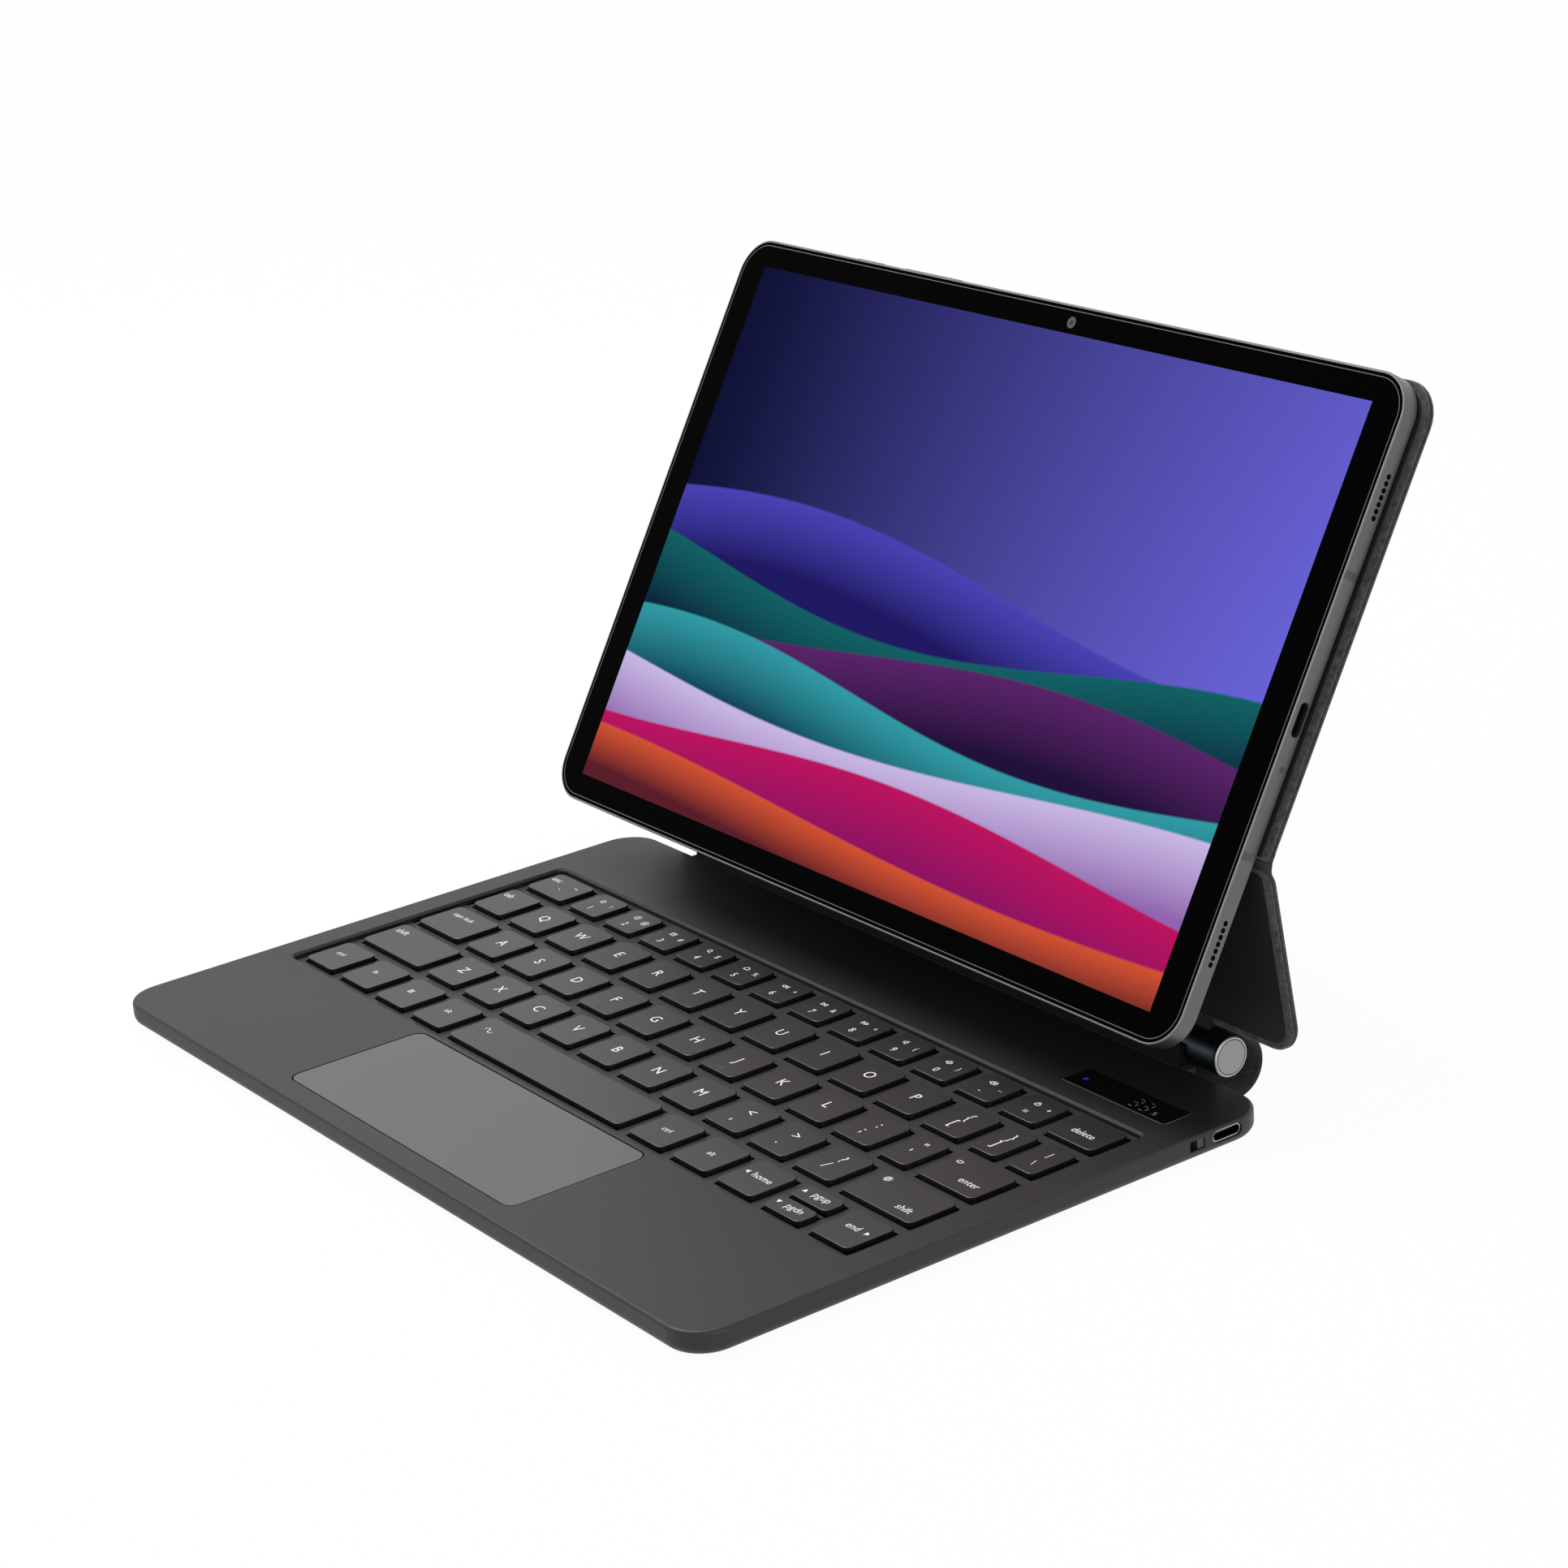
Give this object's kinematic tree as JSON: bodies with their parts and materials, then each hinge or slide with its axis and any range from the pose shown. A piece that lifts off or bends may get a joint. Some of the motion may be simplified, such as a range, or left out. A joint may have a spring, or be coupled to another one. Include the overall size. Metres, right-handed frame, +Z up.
{
  "type": "tablet keyboard case",
  "caption": "Folding keyboard case with a hinged stand and tilting screen panel that holds a tablet upright over a thin keyboard base with keys and a trackpad.",
  "frame": {"origin": "middle of the keyboard base's underside", "axes": "+X to the typist's right along the long side, +Y to the rear where the hinge is, +Z up"},
  "size_m": [0.2634, 0.2251, 0.1682],
  "materials": {
    "soft_touch_shell": "soft-touch, matt, fine grain",
    "underside_cover": "matt, fine pebble grain",
    "key_plastic": "matt, light legends",
    "trackpad_surface": "smooth, satin",
    "key_carrier_plastic": "matt",
    "membrane_film": "matt film",
    "guide_film": "clear-white film",
    "steel": "plain",
    "socket_steel": "satin",
    "cell_foil": "foil wrap",
    "circuit_board": "solder mask",
    "magnet_metal": "plated",
    "window_gloss": "high gloss",
    "switch_plastic": "matt",
    "hinge_metal": "dark anodised",
    "cap_metal": "turned, bright rim",
    "plug_plastic": "moulded",
    "outer_cloth": "matt woven",
    "inner_lining": "smooth synthetic leather",
    "stiff_card": "fibre board",
    "tablet_metal": "fine-blasted grey",
    "tablet_glass_black": "polished",
    "tablet_display": "polished, lit",
    "lens_glass": "polished"
  },
  "bodies": {
    "base": {"underside_skin": "underside_cover", "bottom_shell": "soft_touch_shell", "top_deck": "soft_touch_shell", "light_guide": "guide_film", "key_plate": "steel", "switch_membrane": "membrane_film", "key_lifts": "key_carrier_plastic", "battery_cells": "cell_foil", "main_board": "circuit_board", "trackpad_board": "circuit_board", "closing_magnets": "magnet_metal", "charging_socket": "socket_steel", "status_window": "window_gloss", "hinge_saddle": "hinge_metal", "barrel_tube": "hinge_metal", "end_caps": "cap_metal", "hinge_pins": "steel", "pin_supports": "plug_plastic", "spine_cloth": "outer_cloth"},
    "stand": {"stand_leaf": "steel", "stand_cloth": "outer_cloth", "stand_card": "stiff_card", "stand_lining": "inner_lining", "fold_strip": "outer_cloth"},
    "screen_panel": {"panel_cloth": "outer_cloth", "panel_card": "stiff_card", "panel_lining": "inner_lining", "hold_magnets": "magnet_metal"},
    "tablet": {"tablet_body": "tablet_metal", "tablet_glass": "tablet_glass_black", "tablet_screen": "tablet_display", "tablet_lenses": "lens_glass"},
    "tablet_power_key": {"tablet_power_key": "tablet_metal"},
    "tablet_volume_key": {"tablet_volume_key": "tablet_metal"},
    "trackpad": {"trackpad": "trackpad_surface"},
    "power_switch": {"power_switch": "switch_plastic"},
    "ctrl_left_key": {"ctrl_left_key": "key_plastic"},
    "fn_key": {"fn_key": "key_plastic"},
    "menu_key": {"menu_key": "key_plastic"},
    "alt_left_key": {"alt_left_key": "key_plastic"},
    "space_key": {"space_key": "key_plastic"},
    "ctrl_right_key": {"ctrl_right_key": "key_plastic"},
    "alt_right_key": {"alt_right_key": "key_plastic"},
    "arrow_left_key": {"arrow_left_key": "key_plastic"},
    "arrow_down_key": {"arrow_down_key": "key_plastic"},
    "arrow_up_key": {"arrow_up_key": "key_plastic"},
    "arrow_right_key": {"arrow_right_key": "key_plastic"},
    "shift_left_key": {"shift_left_key": "key_plastic"},
    "shift_right_key": {"shift_right_key": "key_plastic"},
    "caps_key": {"caps_key": "key_plastic"},
    "enter_key": {"enter_key": "key_plastic"},
    "tab_key": {"tab_key": "key_plastic"},
    "backslash_key": {"backslash_key": "key_plastic"},
    "esc_key": {"esc_key": "key_plastic"},
    "delete_key": {"delete_key": "key_plastic"},
    "bottom_row": {"bottom_row": "key_plastic"},
    "home_row": {"home_row": "key_plastic"},
    "letter_row": {"letter_row": "key_plastic"},
    "digit_row": {"digit_row": "key_plastic"}
  },
  "joints": [
    {"name": "stand_hinge", "type": "hinge", "parent": "base", "child": "stand", "pos_m": [0, 0.08805, 0.0106], "axis": [-1, 0, 0], "range_deg": [-25, 12], "deforming": ["spine_cloth"]},
    {"name": "screen_fold", "type": "hinge", "parent": "stand", "child": "screen_panel", "pos_m": [0, 0.08516, 0.06493], "axis": [1, 0, 0], "range_deg": [-12, 38], "deforming": ["fold_strip"]},
    {"name": "tablet_lift_off", "type": "slide", "parent": "screen_panel", "child": "tablet", "axis": [0, -0.8643, 0.503], "range_m": [0, 0.05]},
    {"name": "tablet_power_press", "type": "slide", "parent": "tablet", "child": "tablet_power_key", "axis": [0, 0.503, 0.8643], "range_m": [-0.0002, 0], "stiffness_N_per_m": 1500, "springref_m": 0.0003},
    {"name": "tablet_volume_rock", "type": "hinge", "parent": "tablet", "child": "tablet_volume_key", "pos_m": [-0.0498, 0.1382, 0.167], "axis": [0, -0.8643, 0.503], "range_deg": [-1, 1], "stiffness_Nm_per_rad": 0.05},
    {"name": "trackpad_press", "type": "slide", "parent": "base", "child": "trackpad", "axis": [0, 0, 1], "range_m": [-0.00035, 0], "stiffness_N_per_m": 2000, "springref_m": 0.0003},
    {"name": "power_slide", "type": "slide", "parent": "base", "child": "power_switch", "axis": [0, 1, 0], "range_m": [-0.0022, 0]},
    {"name": "ctrl_left_press", "type": "slide", "parent": "base", "child": "ctrl_left_key", "axis": [0, 0, 1], "range_m": [-0.0013, 0], "stiffness_N_per_m": 300, "springref_m": 0.0004, "deforming": ["key_lifts"]},
    {"name": "fn_press", "type": "slide", "parent": "base", "child": "fn_key", "axis": [0, 0, 1], "range_m": [-0.0013, 0], "stiffness_N_per_m": 300, "springref_m": 0.0004, "deforming": ["key_lifts"]},
    {"name": "menu_press", "type": "slide", "parent": "base", "child": "menu_key", "axis": [0, 0, 1], "range_m": [-0.0013, 0], "stiffness_N_per_m": 300, "springref_m": 0.0004, "deforming": ["key_lifts"]},
    {"name": "alt_left_press", "type": "slide", "parent": "base", "child": "alt_left_key", "axis": [0, 0, 1], "range_m": [-0.0013, 0], "stiffness_N_per_m": 300, "springref_m": 0.0004, "deforming": ["key_lifts"]},
    {"name": "space_press", "type": "slide", "parent": "base", "child": "space_key", "axis": [0, 0, 1], "range_m": [-0.0013, 0], "stiffness_N_per_m": 600, "springref_m": 0.0004, "deforming": ["key_lifts"]},
    {"name": "ctrl_right_press", "type": "slide", "parent": "base", "child": "ctrl_right_key", "axis": [0, 0, 1], "range_m": [-0.0013, 0], "stiffness_N_per_m": 300, "springref_m": 0.0004, "deforming": ["key_lifts"]},
    {"name": "alt_right_press", "type": "slide", "parent": "base", "child": "alt_right_key", "axis": [0, 0, 1], "range_m": [-0.0013, 0], "stiffness_N_per_m": 300, "springref_m": 0.0004, "deforming": ["key_lifts"]},
    {"name": "arrow_left_press", "type": "slide", "parent": "base", "child": "arrow_left_key", "axis": [0, 0, 1], "range_m": [-0.0013, 0], "stiffness_N_per_m": 300, "springref_m": 0.0004, "deforming": ["key_lifts"]},
    {"name": "arrow_down_press", "type": "slide", "parent": "base", "child": "arrow_down_key", "axis": [0, 0, 1], "range_m": [-0.0013, 0], "stiffness_N_per_m": 300, "springref_m": 0.0004, "deforming": ["key_lifts"]},
    {"name": "arrow_up_press", "type": "slide", "parent": "base", "child": "arrow_up_key", "axis": [0, 0, 1], "range_m": [-0.0013, 0], "stiffness_N_per_m": 300, "springref_m": 0.0004, "deforming": ["key_lifts"]},
    {"name": "arrow_right_press", "type": "slide", "parent": "base", "child": "arrow_right_key", "axis": [0, 0, 1], "range_m": [-0.0013, 0], "stiffness_N_per_m": 300, "springref_m": 0.0004, "deforming": ["key_lifts"]},
    {"name": "shift_left_press", "type": "slide", "parent": "base", "child": "shift_left_key", "axis": [0, 0, 1], "range_m": [-0.0013, 0], "stiffness_N_per_m": 300, "springref_m": 0.0004, "deforming": ["key_lifts"]},
    {"name": "shift_right_press", "type": "slide", "parent": "base", "child": "shift_right_key", "axis": [0, 0, 1], "range_m": [-0.0013, 0], "stiffness_N_per_m": 300, "springref_m": 0.0004, "deforming": ["key_lifts"]},
    {"name": "caps_press", "type": "slide", "parent": "base", "child": "caps_key", "axis": [0, 0, 1], "range_m": [-0.0013, 0], "stiffness_N_per_m": 300, "springref_m": 0.0004, "deforming": ["key_lifts"]},
    {"name": "enter_press", "type": "slide", "parent": "base", "child": "enter_key", "axis": [0, 0, 1], "range_m": [-0.0013, 0], "stiffness_N_per_m": 300, "springref_m": 0.0004, "deforming": ["key_lifts"]},
    {"name": "tab_press", "type": "slide", "parent": "base", "child": "tab_key", "axis": [0, 0, 1], "range_m": [-0.0013, 0], "stiffness_N_per_m": 300, "springref_m": 0.0004, "deforming": ["key_lifts"]},
    {"name": "backslash_press", "type": "slide", "parent": "base", "child": "backslash_key", "axis": [0, 0, 1], "range_m": [-0.0013, 0], "stiffness_N_per_m": 300, "springref_m": 0.0004, "deforming": ["key_lifts"]},
    {"name": "esc_press", "type": "slide", "parent": "base", "child": "esc_key", "axis": [0, 0, 1], "range_m": [-0.0013, 0], "stiffness_N_per_m": 300, "springref_m": 0.0004, "deforming": ["key_lifts"]},
    {"name": "delete_press", "type": "slide", "parent": "base", "child": "delete_key", "axis": [0, 0, 1], "range_m": [-0.0013, 0], "stiffness_N_per_m": 300, "springref_m": 0.0004, "deforming": ["key_lifts"]},
    {"name": "bottom_row_press", "type": "slide", "parent": "base", "child": "bottom_row", "axis": [0, 0, 1], "range_m": [-0.0013, 0], "stiffness_N_per_m": 1500, "springref_m": 0.0004, "deforming": ["key_lifts"]},
    {"name": "home_row_press", "type": "slide", "parent": "base", "child": "home_row", "axis": [0, 0, 1], "range_m": [-0.0013, 0], "stiffness_N_per_m": 1500, "springref_m": 0.0004, "deforming": ["key_lifts"]},
    {"name": "letter_row_press", "type": "slide", "parent": "base", "child": "letter_row", "axis": [0, 0, 1], "range_m": [-0.0013, 0], "stiffness_N_per_m": 1500, "springref_m": 0.0004, "deforming": ["key_lifts"]},
    {"name": "digit_row_press", "type": "slide", "parent": "base", "child": "digit_row", "axis": [0, 0, 1], "range_m": [-0.0013, 0], "stiffness_N_per_m": 1500, "springref_m": 0.0004, "deforming": ["key_lifts"]}
  ]
}
